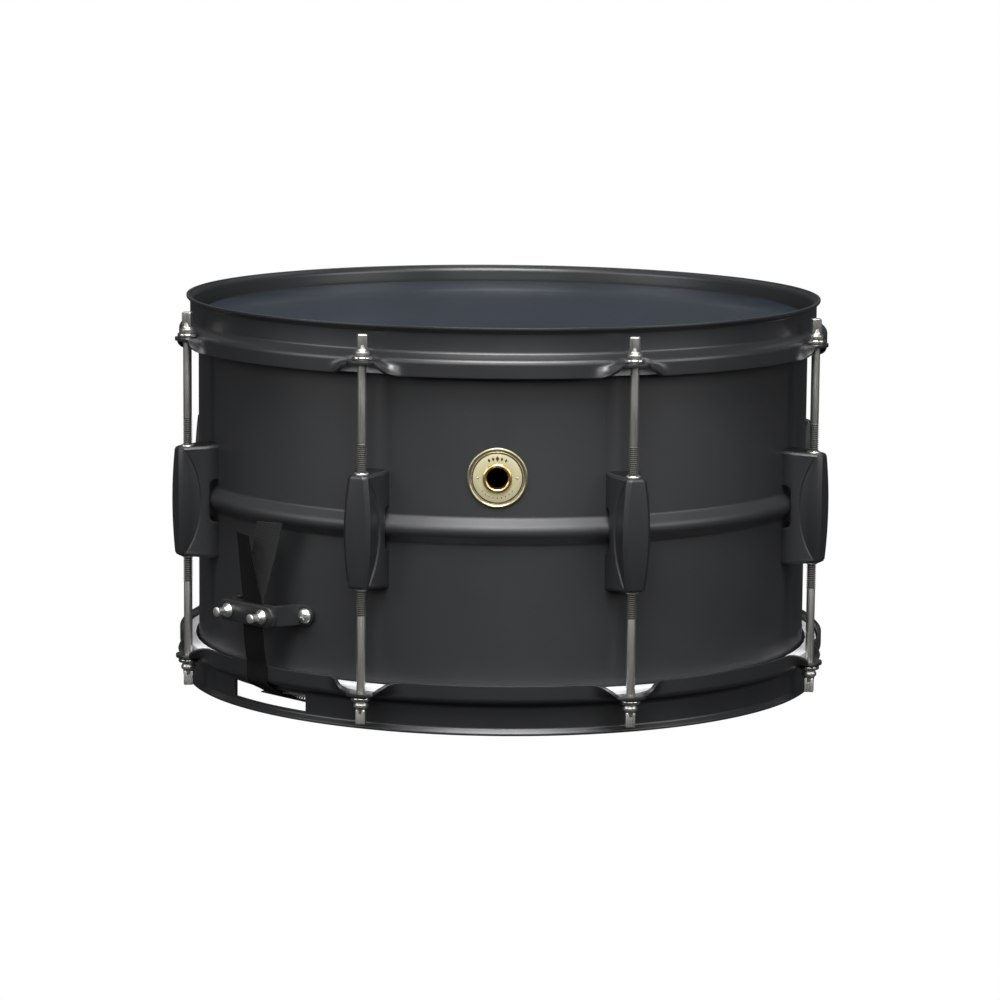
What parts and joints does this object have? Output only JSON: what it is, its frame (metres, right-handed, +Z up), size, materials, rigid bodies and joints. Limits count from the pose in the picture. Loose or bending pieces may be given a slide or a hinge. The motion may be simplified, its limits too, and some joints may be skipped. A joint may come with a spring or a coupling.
{
  "type": "snare drum",
  "caption": "Deep beaded-shell snare drum with flanged hoops, block lugs, key rods, badge with vent, butt plate and side-throw strainer.",
  "frame": {"origin": "centre of the snare-side rim plane, on the drum's axis, where the drum rests", "axes": "+Z up along the drum's axis to the batter head; the badge faces -Y; the butt plate is at the front left, the strainer at the back right"},
  "size_m": [0.3752, 0.3752, 0.2224],
  "materials": {
    "shell": "satin black lacquer over steel",
    "hoop": "satin black lacquer over steel",
    "batter_film": "black polyester drumhead film, glossy",
    "snare_film": "thin hazy translucent polyester film",
    "flesh_hoop": "bright satin aluminium",
    "lug": "satin black die-cast",
    "rod": "grey nickel plated steel, drawn finish",
    "washer": "bright nickel plated steel",
    "nut": "nickel plated steel",
    "screw": "bright plated steel",
    "badge": "pale gold, sandblasted face with a polished rolled rim",
    "grommet": "polished brass",
    "black_fitting": "satin black",
    "knob": "black knurled metal",
    "snare_wire": "bright coiled steel wire",
    "end_plate": "lacquered brass",
    "strap": "black woven nylon ribbon"
  },
  "bodies": {
    "root": {"shell": "shell", "batter_hoop": "hoop", "snare_side_hoop": "hoop", "batter_head_film": "batter_film", "snare_head_film": "snare_film", "batter_head_hoop": "flesh_hoop", "snare_head_hoop": "flesh_hoop", "lug_1": "lug", "lug_2": "lug", "lug_3": "lug", "lug_4": "lug", "lug_5": "lug", "lug_6": "lug", "lug_7": "lug", "lug_8": "lug", "rod_washers": "washer", "lug_nuts": "nut", "butt_mount_nuts": "nut", "lug_screws": "screw", "butt_mount_screws": "screw", "butt_key_screws": "screw", "strainer_screws": "screw", "badge_plate": "badge", "vent_grommet": "grommet", "butt_bracket": "black_fitting", "butt_clamp_plate": "black_fitting", "strainer_base": "black_fitting", "strainer_cover": "black_fitting", "butt_strap": "strap", "strainer_strap_middle": "strap"},
    "batter_rod_1": {"batter_rod_1": "rod"},
    "batter_rod_2": {"batter_rod_2": "rod"},
    "batter_rod_3": {"batter_rod_3": "rod"},
    "batter_rod_4": {"batter_rod_4": "rod"},
    "batter_rod_5": {"batter_rod_5": "rod"},
    "batter_rod_6": {"batter_rod_6": "rod"},
    "batter_rod_7": {"batter_rod_7": "rod"},
    "batter_rod_8": {"batter_rod_8": "rod"},
    "snare_rod_1": {"snare_rod_1": "rod"},
    "snare_rod_2": {"snare_rod_2": "rod"},
    "snare_rod_3": {"snare_rod_3": "rod"},
    "snare_rod_4": {"snare_rod_4": "rod"},
    "snare_rod_5": {"snare_rod_5": "rod"},
    "snare_rod_6": {"snare_rod_6": "rod"},
    "snare_rod_7": {"snare_rod_7": "rod"},
    "snare_rod_8": {"snare_rod_8": "rod"},
    "throw_lever": {"throw_lever": "black_fitting", "lever_cam": "screw", "lever_screw": "screw"},
    "strainer_slide": {"strainer_slide": "black_fitting"},
    "tension_knob": {"tension_knob": "knob"},
    "strap_carriage": {"strap_carriage": "black_fitting", "strap_clamp_plate": "black_fitting", "strainer_key_screws": "screw", "strainer_strap_upper": "strap"},
    "snares": {"snare_wires": "snare_wire", "snare_end_plates": "end_plate", "strainer_strap_lower": "strap"}
  },
  "joints": [
    {"name": "batter_rod_1_turn", "type": "hinge", "parent": "root", "child": "batter_rod_1", "pos_m": [0.07321, -0.17674, 0.17], "axis": [0, 0, 1], "continuous": true},
    {"name": "batter_rod_2_turn", "type": "hinge", "parent": "root", "child": "batter_rod_2", "pos_m": [0.17674, -0.07321, 0.17], "axis": [0, 0, 1], "continuous": true},
    {"name": "batter_rod_3_turn", "type": "hinge", "parent": "root", "child": "batter_rod_3", "pos_m": [0.17674, 0.07321, 0.17], "axis": [0, 0, 1], "continuous": true},
    {"name": "batter_rod_4_turn", "type": "hinge", "parent": "root", "child": "batter_rod_4", "pos_m": [0.07321, 0.17674, 0.17], "axis": [0, 0, 1], "continuous": true},
    {"name": "batter_rod_5_turn", "type": "hinge", "parent": "root", "child": "batter_rod_5", "pos_m": [-0.07321, 0.17674, 0.17], "axis": [0, 0, 1], "continuous": true},
    {"name": "batter_rod_6_turn", "type": "hinge", "parent": "root", "child": "batter_rod_6", "pos_m": [-0.17674, 0.07321, 0.17], "axis": [0, 0, 1], "continuous": true},
    {"name": "batter_rod_7_turn", "type": "hinge", "parent": "root", "child": "batter_rod_7", "pos_m": [-0.17674, -0.07321, 0.17], "axis": [0, 0, 1], "continuous": true},
    {"name": "batter_rod_8_turn", "type": "hinge", "parent": "root", "child": "batter_rod_8", "pos_m": [-0.07321, -0.17674, 0.17], "axis": [0, 0, 1], "continuous": true},
    {"name": "snare_rod_1_turn", "type": "hinge", "parent": "root", "child": "snare_rod_1", "pos_m": [0.07321, -0.17674, 0.0524], "axis": [0, 0, 1], "continuous": true},
    {"name": "snare_rod_2_turn", "type": "hinge", "parent": "root", "child": "snare_rod_2", "pos_m": [0.17674, -0.07321, 0.0524], "axis": [0, 0, 1], "continuous": true},
    {"name": "snare_rod_3_turn", "type": "hinge", "parent": "root", "child": "snare_rod_3", "pos_m": [0.17674, 0.07321, 0.0524], "axis": [0, 0, 1], "continuous": true},
    {"name": "snare_rod_4_turn", "type": "hinge", "parent": "root", "child": "snare_rod_4", "pos_m": [0.07321, 0.17674, 0.0524], "axis": [0, 0, 1], "continuous": true},
    {"name": "snare_rod_5_turn", "type": "hinge", "parent": "root", "child": "snare_rod_5", "pos_m": [-0.07321, 0.17674, 0.0524], "axis": [0, 0, 1], "continuous": true},
    {"name": "snare_rod_6_turn", "type": "hinge", "parent": "root", "child": "snare_rod_6", "pos_m": [-0.17674, 0.07321, 0.0524], "axis": [0, 0, 1], "continuous": true},
    {"name": "snare_rod_7_turn", "type": "hinge", "parent": "root", "child": "snare_rod_7", "pos_m": [-0.17674, -0.07321, 0.0524], "axis": [0, 0, 1], "continuous": true},
    {"name": "snare_rod_8_turn", "type": "hinge", "parent": "root", "child": "snare_rod_8", "pos_m": [-0.07321, -0.17674, 0.0524], "axis": [0, 0, 1], "continuous": true},
    {"name": "lever_throw", "type": "hinge", "parent": "root", "child": "throw_lever", "pos_m": [0.13612, 0.13612, 0.088], "axis": [0.7071, 0.7071, 0], "range_deg": [0, 90]},
    {"name": "strainer_drop", "type": "slide", "parent": "root", "child": "strainer_slide", "axis": [0, 0, -1], "range_m": [0, 0.0099]},
    {"name": "knob_turn", "type": "hinge", "parent": "strainer_slide", "child": "tension_knob", "pos_m": [0.1439, 0.1439, 0.035], "axis": [0, 0, 1], "range_deg": [-1350, 1350]},
    {"name": "carriage_travel", "type": "slide", "parent": "strainer_slide", "child": "strap_carriage", "axis": [0, 0, 1], "range_m": [-0.0034, 0.0034]},
    {"name": "snare_drop", "type": "hinge", "parent": "root", "child": "snares", "pos_m": [-0.11809, -0.11809, 0.0069], "axis": [-0.7071, 0.7071, 0], "range_deg": [0, 0.7]}
  ],
  "couplings": [
    {"joint": "strainer_drop", "follows": "lever_throw", "m_per_rad": 0.0063022},
    {"joint": "snare_drop", "follows": "lever_throw", "ratio": 0.0077778},
    {"joint": "carriage_travel", "follows": "knob_turn", "m_per_rad": 0.00012732}
  ]
}
